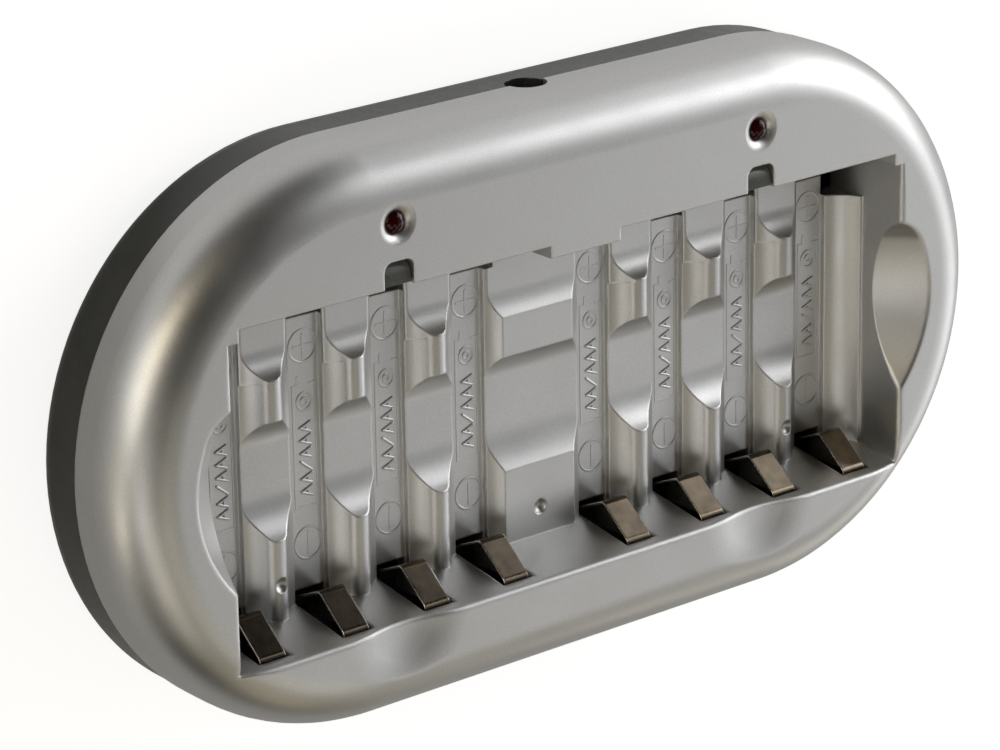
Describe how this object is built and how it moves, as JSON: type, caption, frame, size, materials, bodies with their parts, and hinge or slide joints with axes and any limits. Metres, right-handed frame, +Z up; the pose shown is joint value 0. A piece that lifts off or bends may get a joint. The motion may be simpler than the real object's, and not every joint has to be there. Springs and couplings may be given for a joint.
{
  "type": "battery charger",
  "caption": "Flat pill-shaped desktop charger for round cells: silver housing with half-pipe bays, sprung contacts, status lights, power inlet, dark base on rubber feet.",
  "frame": {"origin": "on the table, below the middle of the housing", "axes": "+Z up out of the face with the bays, +X along the row of bays, +Y toward the power inlet"},
  "size_m": [0.1808, 0.096, 0.0277],
  "materials": {
    "silver_plastic": "satin metallic",
    "dark_plastic": "satin",
    "black_plastic": "matte",
    "nickel": "plated",
    "steel": "zinc plated",
    "red_lens": "clear tinted",
    "board": "lacquered",
    "sleeve": "gloss",
    "copper": "lacquered wire",
    "rubber": "matte"
  },
  "bodies": {
    "housing": {"top_housing": "silver_plastic", "base_cover": "dark_plastic", "main_board": "board", "dc_jack_body": "black_plastic", "dc_jack_pin": "nickel", "dc_jack_terminals": "nickel", "light_left": "red_lens", "light_right": "red_lens", "capacitor_1": "sleeve", "capacitor_2": "sleeve", "power_coil": "copper", "controller_chip": "black_plastic", "power_transistor_1": "black_plastic", "power_transistor_2": "black_plastic", "chip_resistors": "black_plastic", "housing_screws": "steel", "board_screws": "steel", "rubber_feet": "rubber", "positive_contact_1": "nickel", "positive_contact_2": "nickel", "positive_contact_3": "nickel", "positive_contact_4": "nickel", "positive_contact_5": "nickel", "positive_contact_6": "nickel", "positive_contact_7": "nickel", "positive_contact_8": "nickel"},
    "leaf_1": {"negative_contact_1": "nickel"},
    "leaf_2": {"negative_contact_2": "nickel"},
    "leaf_3": {"negative_contact_3": "nickel"},
    "leaf_4": {"negative_contact_4": "nickel"},
    "leaf_5": {"negative_contact_5": "nickel"},
    "leaf_6": {"negative_contact_6": "nickel"},
    "leaf_7": {"negative_contact_7": "nickel"},
    "leaf_8": {"negative_contact_8": "nickel"}
  },
  "joints": [
    {"name": "leaf_flex_1", "type": "hinge", "parent": "housing", "child": "leaf_1", "pos_m": [-0.0628, -0.0298, 0.0063], "axis": [1, 0, 0], "range_deg": [0, 10], "stiffness_Nm_per_rad": 0.27},
    {"name": "leaf_flex_2", "type": "hinge", "parent": "housing", "child": "leaf_2", "pos_m": [-0.0463, -0.0298, 0.0063], "axis": [1, 0, 0], "range_deg": [0, 10], "stiffness_Nm_per_rad": 0.27},
    {"name": "leaf_flex_3", "type": "hinge", "parent": "housing", "child": "leaf_3", "pos_m": [-0.0298, -0.0298, 0.0063], "axis": [1, 0, 0], "range_deg": [0, 10], "stiffness_Nm_per_rad": 0.27},
    {"name": "leaf_flex_4", "type": "hinge", "parent": "housing", "child": "leaf_4", "pos_m": [-0.0133, -0.0298, 0.0063], "axis": [1, 0, 0], "range_deg": [0, 10], "stiffness_Nm_per_rad": 0.27},
    {"name": "leaf_flex_5", "type": "hinge", "parent": "housing", "child": "leaf_5", "pos_m": [0.0133, -0.0298, 0.0063], "axis": [1, 0, 0], "range_deg": [0, 10], "stiffness_Nm_per_rad": 0.27},
    {"name": "leaf_flex_6", "type": "hinge", "parent": "housing", "child": "leaf_6", "pos_m": [0.0298, -0.0298, 0.0063], "axis": [1, 0, 0], "range_deg": [0, 10], "stiffness_Nm_per_rad": 0.27},
    {"name": "leaf_flex_7", "type": "hinge", "parent": "housing", "child": "leaf_7", "pos_m": [0.0463, -0.0298, 0.0063], "axis": [1, 0, 0], "range_deg": [0, 10], "stiffness_Nm_per_rad": 0.27},
    {"name": "leaf_flex_8", "type": "hinge", "parent": "housing", "child": "leaf_8", "pos_m": [0.0628, -0.0298, 0.0063], "axis": [1, 0, 0], "range_deg": [0, 10], "stiffness_Nm_per_rad": 0.27}
  ]
}
